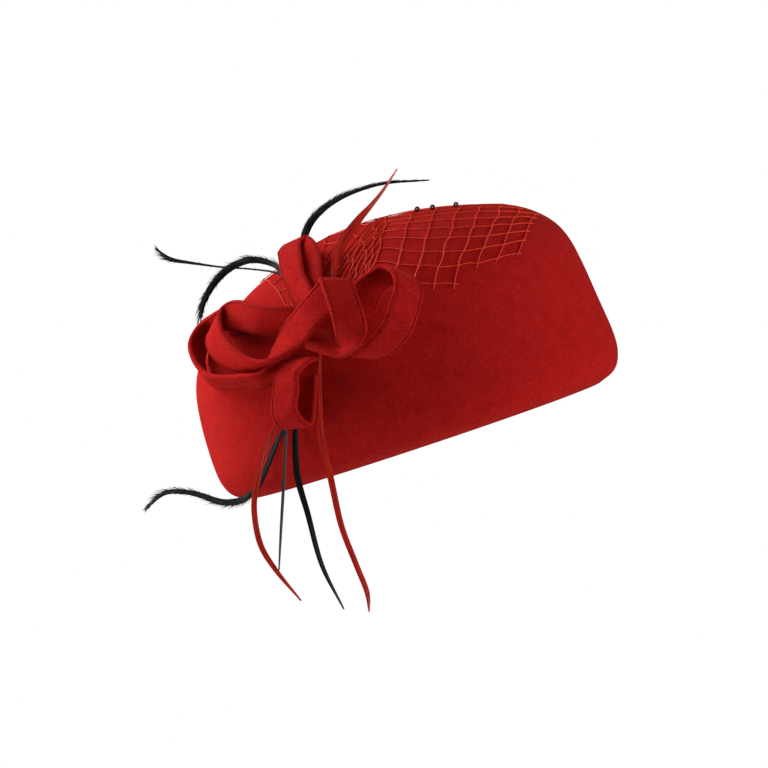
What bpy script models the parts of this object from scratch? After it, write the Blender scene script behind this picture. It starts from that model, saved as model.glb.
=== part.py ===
"""Red wool felt pillbox hat with a five-looped felt bow, a coarse veil net, beads and quills.

Metres, +Z up. The origin is the middle of the head opening, level with the rim.
+X runs along the crown's length, -Y is the side that carries the bow.
"""

import math

import bmesh
import bpy
import numpy as np

# Crown
CROWN_LENGTH = 0.228
CROWN_DEPTH = 0.196
CROWN_HEIGHT = 0.122
FELT_THICKNESS = 0.0025
OVAL_POWER = 2.1
CROWN_SEGMENTS = 44
STEPS_PER_ROW = 2

# Bow
RIBBON_WIDTH = 0.017
RIBBON_THICKNESS = 0.0028
RIBBON_STEPS = 3

# Veil net
NET_CELL_LENGTH = 0.0113
NET_CELL_LOSS = 0.00015
NET_ROW_LENGTH = 0.0098
NET_SKEW = 0.0026
NET_DIP = 0.014
NET_BEND_COLUMNS = 3.3
NET_THREAD = 0.0009
NET_THICKNESS = 0.0005
NET_LIFT = 0.0012

# Beads and feathers
BEAD_DIAMETER = 0.0028
BEAD_GAP = 0.0005
FEATHER_WIDTH = 0.005
QUILL_THICKNESS = 0.0008
QUILL_STEPS = 2

# Crown seen from the bow's side: height, half length and sideways shift as shares of the
# crown's height and half length, from the rim's fold up to the top.
CROWN_PROFILE = (
    # row             height  reach   shift
    ("rim_fold",       0.000, 0.870,  0.000),
    ("rim_round",      0.030, 0.945,  0.000),
    ("rim_turn",       0.085, 0.985,  0.000),
    ("wall_low",       0.180, 1.000,  0.000),
    ("wall_middle",    0.370, 0.988, -0.006),
    ("wall_top",       0.530, 0.965,  0.000),
    ("shoulder_low",   0.650, 0.920,  0.022),
    ("shoulder",       0.740, 0.842,  0.055),
    ("shoulder_top",   0.820, 0.735,  0.078),
    ("dome_edge",      0.880, 0.620,  0.080),
    ("dome_middle",    0.930, 0.460,  0.072),
    ("dome_slope",     0.970, 0.295,  0.040),
    ("dome_top",       0.992, 0.120,  0.015),
    ("apex",           1.000, 0.000,  0.010),
)

# Ribbon stations. turn: degrees round the crown from its front towards its left.
# rise: share of the way up the crown's surface. lift: off that surface, in ribbon widths.
# swing, tilt: heading of the ribbon's width, from level-right towards up, and out of the surface.
BOW = {
    "bow_loop_upper": (
        # turn  rise  lift swing tilt
        (22, 0.451, 0.32, 2, 32),
        (22, 0.463, 0.52, 0, 32),
        (28, 0.545, 0.71, -23, 7),
        (32, 0.603, 0.74, -16, 3),
        (37, 0.659, 0.68, -7, 3),
        (41, 0.721, 0.59, -3, 3),
        (31, 0.660, 0.53, -9, 8),
        (26, 0.595, 0.47, -12, 12),
        (22, 0.515, 0.44, -13, 19),
        (19, 0.462, 0.29, -7, 26),
    ),
    "bow_long_ribbon": (
        (24, 0.428, 0.38, 40, 34),
        (28.5, 0.438, 0.48, 41, 42),
        (35.3, 0.450, 0.60, 43, 36),
        (41.8, 0.468, 0.66, 46, 35),
        (47.7, 0.479, 0.70, 47, 30),
        (51.8, 0.479, 0.71, 36, 31),
        (52, 0.463, 0.78, 21, 19),
        (49.7, 0.439, 0.81, 16, 11),
        (45.9, 0.408, 0.76, 15, 9),
        (40.8, 0.373, 0.69, 10, 18),
        (36, 0.354, 0.70, 2, 32),
        (31.7, 0.352, 0.66, -12, 49),
        (29.1, 0.368, 0.57, -47, 39),
        (26.7, 0.382, 0.57, -58, 26),
        (23, 0.392, 0.78, -65, 6),
        (19, 0.407, 1.06, -70, 6),
        (15, 0.422, 1.21, -71, -5),
        (12, 0.435, 1.32, -46, -3),
        (10.2, 0.443, 1.55, -19, -10),
        (9.4, 0.422, 1.60, -18, -15),
        (8.6, 0.390, 1.64, -17, -16),
        (8.4, 0.360, 1.59, -20, -8),
        (9.1, 0.336, 1.45, -23, 22),
        (10.9, 0.321, 1.17, -39, 50),
        (13, 0.331, 0.88, -84, 44),
        (16, 0.351, 0.74, -99, 42),
        (20, 0.374, 0.68, -101, 49),
    ),
    "bow_loop_left_back": (
        (31.2, 0.332, 0.15, 25, 15),
        (33.1, 0.324, 0.36, 26, 38),
        (35.9, 0.319, 0.54, 31, 52),
        (40.3, 0.331, 0.51, 28, 60),
        (46.5, 0.341, 0.47, 28, 56),
        (52.3, 0.355, 0.49, 27, 49),
        (57.5, 0.381, 0.50, 22, 46),
        (61.7, 0.412, 0.49, 17, 51),
        (65.2, 0.439, 0.48, 13, 53),
        (66.8, 0.467, 0.46, 3, 49),
        (64.1, 0.488, 0.46, 7, 43),
        (56.2, 0.489, 0.47, 23, 48),
        (48.9, 0.478, 0.39, 88, 31),
        (43.9, 0.472, 0.25, 103, 13),
    ),
    "bow_loop_right": (
        (7, 0.393, 0.41, 152, 45),
        (5, 0.426, 0.54, 159, 41),
        (3, 0.447, 0.56, 163, 37),
        (-1, 0.454, 0.65, 158, 30),
        (-4, 0.448, 0.82, 145, 23),
        (-6, 0.424, 1.00, 145, 28),
        (-6, 0.396, 1.12, 149, 32),
        (-4, 0.362, 1.18, 150, 28),
        (-1, 0.326, 1.12, 149, 26),
        (4, 0.299, 0.88, 150, 25),
        (8, 0.295, 0.65, 159, 36),
    ),
    "bow_loop_lower": (
        (22, 0.336, 0.53, -22, 26),
        (24, 0.328, 0.71, -14, 22),
        (27, 0.308, 0.82, -11, 19),
        (28, 0.273, 0.85, -12, 15),
        (30, 0.233, 0.79, -9, 13),
        (30, 0.200, 0.68, -7, 8),
        (29, 0.185, 0.50, -7, 9),
        (28, 0.199, 0.38, -3, 11),
        (26, 0.246, 0.35, -6, 15),
        (24, 0.293, 0.35, -8, 22),
    ),
}

# Feather stations, root first: place to the right, out towards the bow's side and up, as shares
# of the crown's length, depth and height, and the blade's width as a share of the widest vane.
FEATHERS = {
    "feather_black_arched": (
        # right   out    up   width
        (-0.129, 0.416, 0.746, 0.42),
        (-0.130, 0.328, 0.858, 0.63),
        (-0.131, 0.184, 0.957, 0.84),
        (-0.118, 0.148, 1.020, 0.97),
        (-0.087, 0.143, 1.075, 0.92),
        (-0.038, 0.137, 1.114, 0.76),
        (0.023, 0.133, 1.129, 0.50),
        (0.098, 0.128, 1.121, 0.34),
        (0.196, 0.122, 1.075, 0.13),
    ),
    "feather_red_blade": (
        (-0.095, 0.439, 0.721, 0.36),
        (-0.081, 0.393, 0.804, 0.68),
        (-0.048, 0.327, 0.905, 1.08),
        (0.003, 0.306, 0.981, 0.84),
        (0.049, 0.295, 1.033, 0.48),
        (0.085, 0.291, 1.078, 0.32),
        (0.128, 0.286, 1.142, 0.14),
    ),
    "feather_black_curled": (
        (-0.192, 0.293, 0.862, 0.48),
        (-0.206, 0.255, 0.925, 0.68),
        (-0.251, 0.240, 0.977, 0.84),
        (-0.302, 0.225, 0.977, 0.92),
        (-0.348, 0.214, 0.940, 0.88),
        (-0.387, 0.204, 0.878, 0.72),
        (-0.408, 0.199, 0.815, 0.44),
    ),
    "feather_black_thin": (
        (-0.183, 0.347, 0.805, 0.24),
        (-0.202, 0.249, 0.882, 0.24),
        (-0.259, 0.194, 0.944, 0.20),
        (-0.317, 0.184, 0.989, 0.20),
        (-0.387, 0.173, 1.054, 0.36),
        (-0.432, 0.169, 1.101, 0.52),
        (-0.456, 0.163, 1.166, 0.12),
    ),
    "feather_black_wavy": (
        (-0.246, 0.446, 0.357, 0.24),
        (-0.273, 0.433, 0.286, 0.32),
        (-0.314, 0.408, 0.222, 0.48),
        (-0.357, 0.378, 0.131, 0.64),
        (-0.400, 0.357, 0.054, 0.72),
        (-0.442, 0.332, 0.024, 0.84),
        (-0.486, 0.312, 0.041, 0.80),
        (-0.529, 0.295, 0.097, 0.68),
        (-0.567, 0.286, 0.135, 0.60),
        (-0.610, 0.276, 0.151, 0.52),
        (-0.661, 0.270, 0.110, 0.14),
    ),
    "quill_red_long": (
        (-0.296, 0.422, 0.327, 0.34),
        (-0.320, 0.415, 0.262, 0.46),
        (-0.353, 0.421, 0.187, 0.54),
        (-0.392, 0.439, 0.069, 0.59),
        (-0.414, 0.454, -0.028, 0.59),
        (-0.424, 0.459, -0.164, 0.59),
        (-0.410, 0.459, -0.286, 0.49),
        (-0.379, 0.454, -0.439, 0.17),
    ),
    "quill_black_short": (
        (-0.277, 0.442, 0.306, 0.24),
        (-0.292, 0.445, 0.241, 0.28),
        (-0.326, 0.447, 0.077, 0.32),
        (-0.371, 0.461, -0.136, 0.28),
        (-0.403, 0.467, -0.290, 0.16),
    ),
    "quill_black_long": (
        (-0.250, 0.450, 0.306, 0.38),
        (-0.272, 0.446, 0.234, 0.58),
        (-0.299, 0.449, 0.060, 0.67),
        (-0.304, 0.464, -0.112, 0.58),
        (-0.310, 0.470, -0.325, 0.48),
        (-0.295, 0.470, -0.525, 0.17),
    ),
    "quill_red_pointed": (
        (-0.168, 0.465, 0.499, 0.42),
        (-0.187, 0.473, 0.406, 0.61),
        (-0.203, 0.479, 0.312, 0.71),
        (-0.222, 0.480, 0.174, 0.71),
        (-0.231, 0.490, -0.006, 0.66),
        (-0.241, 0.500, -0.196, 0.61),
        (-0.237, 0.500, -0.370, 0.57),
        (-0.234, 0.500, -0.484, 0.52),
        (-0.243, 0.500, -0.564, 0.17),
    ),
}

# The net, laid flat round the apex in shares of the crown's length: where its first knot lies,
# where it gathers under the bow, how far its last column is drawn in, and its rows of cells.
NET_START = (-0.021, -0.386)
NET_GATHER_RIGHT = (-0.079, -0.465)
NET_GATHER_LEFT = (-0.228, -0.403)
NET_GATHER_COLUMNS = 4
NET_DRAW = 0.90
NET_CELL_COUNTS = (
    # row, first column, last column
    (-1, 1, 3),
    (0, -4, 6),
    (1, -4, 6),
    (2, -4, 6),
    (3, -4, 6),
    (4, -4, 6),
    (5, -4, 5),
    (6, -4, 4),
    (7, -4, 3),
    (8, -4, -1),
    (9, -4, -1),
    (10, -4, -1),
    (11, -4, -1),
    (12, -4, -1),
    (13, -4, -1),
    (14, -4, -1),
)
NET_LAST_FAR_ROW = 8
NET_LEFT_START = (0.070, -0.042)
NET_LEFT_END = (-0.272, -0.079)
NET_LEFT_ROWS = 7
NET_SWELL = 0.20
BEAD_PLACES = ((1.20, 6.7), (1.80, 6.7), (2.80, 6.7))

FELT_RED = (0.55, 0.02, 0.02)
NET_RED = (0.70, 0.06, 0.04)
BEAD_RED = (0.25, 0.01, 0.01)
QUILL_RED = (0.65, 0.03, 0.02)
FEATHER_BLACK = (0.01, 0.012, 0.015)


def clear_file():
    for thing in list(bpy.data.objects):
        bpy.data.objects.remove(thing, do_unlink=True)
    for group in list(bpy.data.collections):
        bpy.data.collections.remove(group)


def plain_material(name, colour, roughness):
    material = bpy.data.materials.new(name)
    material.use_nodes = True
    shader = material.node_tree.nodes["Principled BSDF"]
    shader.inputs["Base Color"].default_value = (*colour, 1.0)
    shader.inputs["Roughness"].default_value = roughness
    return material


def smooth_through(rows, place):
    """Catmull-Rom value at a fractional row number."""
    rows = np.asarray(rows, dtype=float)
    index = min(max(int(math.floor(place)), 0), len(rows) - 2)
    share = place - index
    start = rows[index]
    end = rows[index + 1]
    before = rows[index - 1] if index > 0 else 2 * start - end
    after = rows[index + 2] if index + 2 < len(rows) else 2 * end - start
    linear = end - before
    square = 2 * before - 5 * start + 4 * end - after
    cube = after - before + 3 * start - 3 * end
    return start + 0.5 * share * (linear + share * (square + share * cube))


def profile_samples(steps):
    rows = [row[1:] for row in CROWN_PROFILE]
    count = (len(rows) - 1) * steps
    samples = np.array([smooth_through(rows, place / steps) for place in range(count + 1)])
    samples[-1, 1] = 0.0
    return samples


def profile_by_rise():
    """Fine profile with the share of the way up its length beside each sample."""
    samples = profile_samples(60)
    across = samples[:, 1] * (CROWN_LENGTH + CROWN_DEPTH) / 4
    up = samples[:, 0] * CROWN_HEIGHT
    runs = np.concatenate([[0.0], np.cumsum(np.hypot(np.diff(across), np.diff(up)))])
    return runs / runs[-1], samples, runs[-1]


RISES, PROFILE_FINE, SLOPE_LENGTH = profile_by_rise()


def oval(angle):
    """Unit oval in plan, slightly squarer than an ellipse."""
    side = math.cos(angle)
    front = math.sin(angle)
    size = (abs(side) ** OVAL_POWER + abs(front) ** OVAL_POWER) ** (-1 / OVAL_POWER)
    return size * side, size * front


def place_on_crown(angle, height, reach, shift):
    side, front = oval(angle)
    return np.array((
        CROWN_LENGTH / 2 * (reach * side + shift),
        CROWN_DEPTH / 2 * reach * front,
        CROWN_HEIGHT * height,
    ))


def crown_point(turn, rise):
    height, reach, shift = [np.interp(rise, RISES, PROFILE_FINE[:, part]) for part in range(3)]
    return place_on_crown(math.radians(-90 - turn), height, reach, shift)


def crown_axes(turn, rise):
    """Place on the crown with level-right, upward and outward directions there."""
    small = 0.05
    point = crown_point(turn, rise)
    right = crown_point(turn - small, rise) - crown_point(turn + small, rise)
    up = crown_point(turn, min(rise + 0.001, 1.0)) - crown_point(turn, rise - 0.001)
    right /= np.linalg.norm(right)
    outward = np.cross(right, up)
    outward /= np.linalg.norm(outward)
    return point, right, np.cross(outward, right), outward


def new_object(name, mesh_builder, material, group):
    mesh = bpy.data.meshes.new(name)
    mesh_builder.to_mesh(mesh)
    mesh_builder.free()
    mesh.materials.append(material)
    thing = bpy.data.objects.new(name, mesh)
    group.objects.link(thing)
    return thing


def add_thickness(thing, thickness, offset):
    solidify = thing.modifiers.new("Thickness", "SOLIDIFY")
    solidify.thickness = thickness
    solidify.offset = offset


def make_crown(group):
    """Felt shell: the profile spun round, then drawn out to the oval plan."""
    builder = bmesh.new()
    samples = profile_samples(STEPS_PER_ROW)
    verts = [builder.verts.new((reach, 0.0, height)) for height, reach, shift in samples]
    edges = [builder.edges.new(pair) for pair in zip(verts, verts[1:])]
    bmesh.ops.spin(
        builder,
        geom=verts + edges,
        cent=(0, 0, 0),
        axis=(0, 0, 1),
        angle=math.tau,
        steps=CROWN_SEGMENTS,
        use_merge=True,
    )
    bmesh.ops.remove_doubles(builder, verts=builder.verts, dist=0.00001)
    heights = samples[:, 0]
    shifts = samples[:, 2]
    for vert in builder.verts:
        x, y, height = vert.co
        shift = np.interp(height, heights, shifts)
        vert.co = place_on_crown(math.atan2(y, x), height, math.hypot(x, y), shift)
    bmesh.ops.recalc_face_normals(builder, faces=builder.faces)
    crown = new_object("crown", builder, plain_material("crown_felt", FELT_RED, 0.95), group)
    add_thickness(crown, FELT_THICKNESS, -1.0)
    return crown


def make_strip(name, centres, widths, steps, across, thickness, material, group):
    """Ribbon laid through the centres, each width vector reaching from edge to edge."""
    builder = bmesh.new()
    runs = (len(centres) - 1) * steps
    bmesh.ops.create_grid(builder, x_segments=runs, y_segments=across, size=0.5)
    for vert in builder.verts:
        place = (vert.co.x + 0.5) * runs / steps
        centre = smooth_through(centres, place)
        width = smooth_through(widths, place)
        vert.co = centre + width * vert.co.y
    bmesh.ops.recalc_face_normals(builder, faces=builder.faces)
    strip = new_object(name, builder, material, group)
    add_thickness(strip, thickness, 0.0)
    return strip


def ribbon_stations(rows):
    centres = []
    widths = []
    for turn, rise, lift, swing, tilt in rows:
        point, right, up, outward = crown_axes(turn, rise)
        swing = math.radians(swing)
        tilt = math.radians(tilt)
        level = math.cos(swing) * right + math.sin(swing) * up
        centres.append(point + lift * RIBBON_WIDTH * outward)
        widths.append(RIBBON_WIDTH * (math.cos(tilt) * level + math.sin(tilt) * outward))
    return centres, widths


def make_bow(group):
    for name, rows in BOW.items():
        centres, widths = ribbon_stations(rows)
        material = plain_material(name + "_felt", FELT_RED, 0.95)
        make_strip(name, centres, widths, RIBBON_STEPS, 2, RIBBON_THICKNESS, material, group)


def feather_stations(rows):
    """Blades face the bow's side of the hat, their width square to their run."""
    table = np.array(rows)
    centres = table[:, :3] * (CROWN_LENGTH, -CROWN_DEPTH, CROWN_HEIGHT)
    runs = np.gradient(centres, axis=0)
    widths = []
    for run, width in zip(runs, table[:, 3]):
        aside = np.cross(run, (0.0, 1.0, 0.0))
        widths.append(aside / np.linalg.norm(aside) * width * FEATHER_WIDTH)
    return centres, widths


def make_feathers(group):
    for name, rows in FEATHERS.items():
        colour = FEATHER_BLACK if "black" in name else QUILL_RED
        material = plain_material(name + "_blade", colour, 0.5)
        centres, widths = feather_stations(rows)
        make_strip(name, centres, widths, QUILL_STEPS, 1, QUILL_THICKNESS, material, group)


def net_flat(column, row):
    """Knot in the flat net; columns below zero are drawn in towards the bow."""
    start, right, left, left_start, left_end = CROWN_LENGTH * np.array(
        (NET_START, NET_GATHER_RIGHT, NET_GATHER_LEFT, NET_LEFT_START, NET_LEFT_END)
    )
    if row <= NET_LAST_FAR_ROW:
        bend = 1 - (max(column, 0) / NET_BEND_COLUMNS - 1) ** 2
        along = max(column, 0) * (NET_CELL_LENGTH - row * NET_CELL_LOSS) + row * NET_SKEW
        edge = start + (along, row * NET_ROW_LENGTH - NET_DIP * bend)
    else:
        share = (row - NET_LAST_FAR_ROW) / NET_LEFT_ROWS
        edge = left_start + share * (left_end - left_start)
        edge = edge + NET_SWELL * math.sin(share * math.pi) * (edge - left)
    gather = right + row / (NET_LAST_FAR_ROW + NET_LEFT_ROWS) * (left - right)
    return edge + NET_DRAW * max(-column, 0) / NET_GATHER_COLUMNS * (gather - edge)


def net_knot(column, row, lift):
    """Knot draped on the crown: its distance from the apex is kept along the surface."""
    x, y = net_flat(column, row)
    rise = 1 - math.hypot(x, y) / SLOPE_LENGTH
    turn = -90 - math.degrees(math.atan2(y, x))
    point, right, up, outward = crown_axes(turn, rise)
    return point + lift * outward


def make_net(group):
    """Sheet of four-sided cells, each cut through to leave the threads."""
    builder = bmesh.new()
    knots = {}

    def knot(column, row):
        if (column, row) not in knots:
            knots[column, row] = builder.verts.new(net_knot(column, row, NET_LIFT))
        return knots[column, row]

    for row, first, last in NET_CELL_COUNTS:
        for column in range(first, last + 1):
            corners = ((column, row), (column + 1, row), (column + 1, row + 1), (column, row + 1))
            builder.faces.new([knot(*corner) for corner in corners])
    bmesh.ops.recalc_face_normals(builder, faces=builder.faces)
    cells = list(builder.faces)
    bmesh.ops.inset_individual(
        builder,
        faces=cells,
        thickness=NET_THREAD / 2,
        use_even_offset=True,
    )
    bmesh.ops.delete(builder, geom=cells, context="FACES")
    net = new_object("veil_net", builder, plain_material("veil_net_thread", NET_RED, 0.6), group)
    add_thickness(net, NET_THICKNESS, 0.0)
    return net


def make_beads(group):
    material = plain_material("bead_glass", BEAD_RED, 0.2)
    lift = BEAD_GAP + BEAD_DIAMETER / 2
    for number, (column, row) in enumerate(BEAD_PLACES, start=1):
        builder = bmesh.new()
        bmesh.ops.create_icosphere(builder, subdivisions=1, radius=BEAD_DIAMETER / 2)
        bmesh.ops.translate(builder, verts=builder.verts, vec=net_knot(column, row, lift))
        new_object("bead_" + str(number), builder, material, group)


def main():
    clear_file()
    group = bpy.data.collections.new("wool_felt_hat")
    bpy.context.scene.collection.children.link(group)
    make_crown(group)
    make_bow(group)
    make_feathers(group)
    make_net(group)
    make_beads(group)


main()
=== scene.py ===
"""Looks of a red wool felt pillbox hat with a felt bow, a veil net, beads, feathers and quills.

Laid out as an add-on and run as a script. Metres, +Z up, the bow on the -Y side.
"""

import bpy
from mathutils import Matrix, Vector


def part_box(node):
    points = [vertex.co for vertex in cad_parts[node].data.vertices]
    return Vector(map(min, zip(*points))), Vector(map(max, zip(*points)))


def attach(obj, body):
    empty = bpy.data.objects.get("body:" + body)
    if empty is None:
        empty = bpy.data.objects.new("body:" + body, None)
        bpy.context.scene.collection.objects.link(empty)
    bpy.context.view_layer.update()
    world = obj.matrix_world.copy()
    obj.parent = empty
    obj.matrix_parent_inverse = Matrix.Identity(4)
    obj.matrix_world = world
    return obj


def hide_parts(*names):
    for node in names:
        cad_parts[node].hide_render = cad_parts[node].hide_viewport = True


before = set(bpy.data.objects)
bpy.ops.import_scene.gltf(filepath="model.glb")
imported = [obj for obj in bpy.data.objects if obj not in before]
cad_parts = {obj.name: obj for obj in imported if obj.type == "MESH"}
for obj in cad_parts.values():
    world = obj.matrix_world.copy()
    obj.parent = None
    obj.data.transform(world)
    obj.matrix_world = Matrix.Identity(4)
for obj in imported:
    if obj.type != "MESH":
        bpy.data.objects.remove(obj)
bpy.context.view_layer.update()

import math

import bmesh
import bpy
import numpy as np
from mathutils import Vector

bl_info = {
    "name": "Felt pillbox hat",
    "version": (1, 0, 0),
    "blender": (4, 5, 0),
    "location": "View3D > Sidebar > Hat",
    "description": "Makes the finished pieces of a felt pillbox hat round its packed frame",
    "category": "Object",
}

BODY = "root"
MM = 0.001

# The crown's surface, as its construction gives it
CROWN_LENGTH = 0.228
CROWN_DEPTH = 0.196
CROWN_HEIGHT = 0.122
OVAL_POWER = 2.1
CROWN_PROFILE = (
    # height  reach   shift
    (0.000, 0.870, 0.000),
    (0.030, 0.945, 0.000),
    (0.085, 0.985, 0.000),
    (0.180, 1.000, 0.000),
    (0.370, 0.988, -0.006),
    (0.530, 0.965, 0.000),
    (0.650, 0.920, 0.022),
    (0.740, 0.842, 0.055),
    (0.820, 0.735, 0.078),
    (0.880, 0.620, 0.080),
    (0.930, 0.460, 0.072),
    (0.970, 0.295, 0.040),
    (0.992, 0.120, 0.015),
    (1.000, 0.000, 0.010),
)

# Ribbon stations: degrees round the crown from its front towards its left, share of the way up
# its surface, ribbon widths off it, heading of the ribbon's width in the surface and out of it.
BOW = {
    "bow_loop_upper": (
        # turn  rise  lift swing tilt
        (22, 0.451, 0.32, 2, 32),
        (22, 0.463, 0.52, 0, 32),
        (28, 0.545, 0.71, -23, 7),
        (32, 0.603, 0.74, -16, 3),
        (37, 0.659, 0.68, -7, 3),
        (41, 0.721, 0.59, -3, 3),
        (31, 0.660, 0.53, -9, 8),
        (26, 0.595, 0.47, -12, 12),
        (22, 0.515, 0.44, -13, 19),
        (19, 0.462, 0.29, -7, 26),
    ),
    "bow_long_ribbon": (
        (24, 0.428, 0.38, 40, 34),
        (28.5, 0.438, 0.48, 41, 42),
        (35.3, 0.450, 0.60, 43, 36),
        (41.8, 0.468, 0.66, 46, 35),
        (47.7, 0.479, 0.70, 47, 30),
        (51.8, 0.479, 0.71, 36, 31),
        (52, 0.463, 0.78, 21, 19),
        (49.7, 0.439, 0.81, 16, 11),
        (45.9, 0.408, 0.76, 15, 9),
        (40.8, 0.373, 0.69, 10, 18),
        (36, 0.354, 0.70, 2, 32),
        (31.7, 0.352, 0.66, -12, 49),
        (29.1, 0.368, 0.57, -47, 39),
        (26.7, 0.382, 0.57, -58, 26),
        (23, 0.392, 0.78, -65, 6),
        (19, 0.407, 1.06, -70, 6),
        (15, 0.422, 1.21, -71, -5),
        (12, 0.435, 1.32, -46, -3),
        (10.2, 0.443, 1.55, -19, -10),
        (9.4, 0.422, 1.60, -18, -15),
        (8.6, 0.390, 1.64, -17, -16),
        (8.4, 0.360, 1.59, -20, -8),
        (9.1, 0.336, 1.45, -23, 22),
        (10.9, 0.321, 1.17, -39, 50),
        (13, 0.331, 0.88, -84, 44),
        (16, 0.351, 0.74, -99, 42),
        (20, 0.374, 0.68, -101, 49),
    ),
    "bow_loop_left_back": (
        (31.2, 0.332, 0.15, 25, 15),
        (33.1, 0.324, 0.36, 26, 38),
        (35.9, 0.319, 0.54, 31, 52),
        (40.3, 0.331, 0.51, 28, 60),
        (46.5, 0.341, 0.47, 28, 56),
        (52.3, 0.355, 0.49, 27, 49),
        (57.5, 0.381, 0.50, 22, 46),
        (61.7, 0.412, 0.49, 17, 51),
        (65.2, 0.439, 0.48, 13, 53),
        (66.8, 0.467, 0.46, 3, 49),
        (64.1, 0.488, 0.46, 7, 43),
        (56.2, 0.489, 0.47, 23, 48),
        (48.9, 0.478, 0.39, 88, 31),
        (43.9, 0.472, 0.25, 103, 13),
    ),
    "bow_loop_right": (
        (7, 0.393, 0.41, 152, 45),
        (5, 0.426, 0.54, 159, 41),
        (3, 0.447, 0.56, 163, 37),
        (-1, 0.454, 0.65, 158, 30),
        (-4, 0.448, 0.82, 145, 23),
        (-6, 0.424, 1.00, 145, 28),
        (-6, 0.396, 1.12, 149, 32),
        (-4, 0.362, 1.18, 150, 28),
        (-1, 0.326, 1.12, 149, 26),
        (4, 0.299, 0.88, 150, 25),
        (8, 0.295, 0.65, 159, 36),
    ),
    "bow_loop_lower": (
        (22, 0.336, 0.53, -22, 26),
        (24, 0.328, 0.71, -14, 22),
        (27, 0.308, 0.82, -11, 19),
        (28, 0.273, 0.85, -12, 15),
        (30, 0.233, 0.79, -9, 13),
        (30, 0.200, 0.68, -7, 8),
        (29, 0.185, 0.50, -7, 9),
        (28, 0.199, 0.38, -3, 11),
        (26, 0.246, 0.35, -6, 15),
        (24, 0.293, 0.35, -8, 22),
    ),
}

# The net, laid flat round the crown's top: its cell's side and row, where its first knot lies and
# where it gathers, in shares of the crown's length, and its rows of cells
NET_CELL_LENGTH = 0.0113
NET_CELL_LOSS = 0.00015
NET_ROW_LENGTH = 0.0098
NET_SKEW = 0.0026
NET_DIP = 0.014
NET_BEND_COLUMNS = 3.3
NET_LIFT = 0.0006
NET_START = (-0.021, -0.386)
NET_GATHER_RIGHT = (-0.079, -0.465)
NET_GATHER_LEFT = (-0.228, -0.403)
NET_GATHER_COLUMNS = 4
NET_DRAW = 0.90
NET_CELL_COUNTS = (
    # row, first column, last column
    (-1, 1, 3),
    (0, -4, 6),
    (1, -4, 6),
    (2, -4, 6),
    (3, -4, 6),
    (4, -4, 6),
    (5, -4, 5),
    (6, -4, 4),
    (7, -4, 3),
    (8, -4, -1),
    (9, -4, -1),
    (10, -4, -1),
    (11, -4, -1),
    (12, -4, -1),
    (13, -4, -1),
    (14, -4, -1),
)
NET_LAST_FAR_ROW = 8
NET_LEFT_START = (0.070, -0.042)
NET_LEFT_END = (-0.272, -0.079)
NET_LEFT_ROWS = 7
NET_SWELL = 0.20
BEAD_PLACES = ((1.20, 6.7), (1.80, 6.7), (2.80, 6.7))
BEAD_GAP = 0.0005
FEATHER_WIDTH = 0.005

# Feather stations, root first: right, out towards the bow's side and up, as shares of the crown's
# length, depth and height, and the width of the blade or vane as a share of the widest vane.
FEATHERS = {
    "feather_black_arched": (
        (-0.129, 0.416, 0.746, 0.42),
        (-0.130, 0.328, 0.858, 0.63),
        (-0.131, 0.184, 0.957, 0.84),
        (-0.118, 0.148, 1.020, 0.97),
        (-0.087, 0.143, 1.075, 0.92),
        (-0.038, 0.137, 1.114, 0.76),
        (0.023, 0.133, 1.129, 0.50),
        (0.098, 0.128, 1.121, 0.34),
        (0.196, 0.122, 1.075, 0.13),
    ),
    "feather_black_curled": (
        (-0.192, 0.293, 0.862, 0.48),
        (-0.206, 0.255, 0.925, 0.68),
        (-0.251, 0.240, 0.977, 0.84),
        (-0.302, 0.225, 0.977, 0.92),
        (-0.348, 0.214, 0.940, 0.88),
        (-0.387, 0.204, 0.878, 0.72),
        (-0.408, 0.199, 0.815, 0.44),
    ),
    "feather_black_thin": (
        (-0.183, 0.347, 0.805, 0.24),
        (-0.202, 0.249, 0.882, 0.24),
        (-0.259, 0.194, 0.944, 0.20),
        (-0.317, 0.184, 0.989, 0.20),
        (-0.387, 0.173, 1.054, 0.36),
        (-0.432, 0.169, 1.101, 0.52),
        (-0.456, 0.163, 1.166, 0.12),
    ),
    "feather_black_wavy": (
        (-0.246, 0.446, 0.357, 0.24),
        (-0.273, 0.433, 0.286, 0.32),
        (-0.314, 0.408, 0.222, 0.48),
        (-0.357, 0.378, 0.131, 0.64),
        (-0.400, 0.357, 0.054, 0.72),
        (-0.442, 0.332, 0.024, 0.84),
        (-0.486, 0.312, 0.041, 0.80),
        (-0.529, 0.295, 0.097, 0.68),
        (-0.567, 0.286, 0.135, 0.60),
        (-0.610, 0.276, 0.151, 0.52),
        (-0.661, 0.270, 0.110, 0.14),
    ),
}
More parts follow.
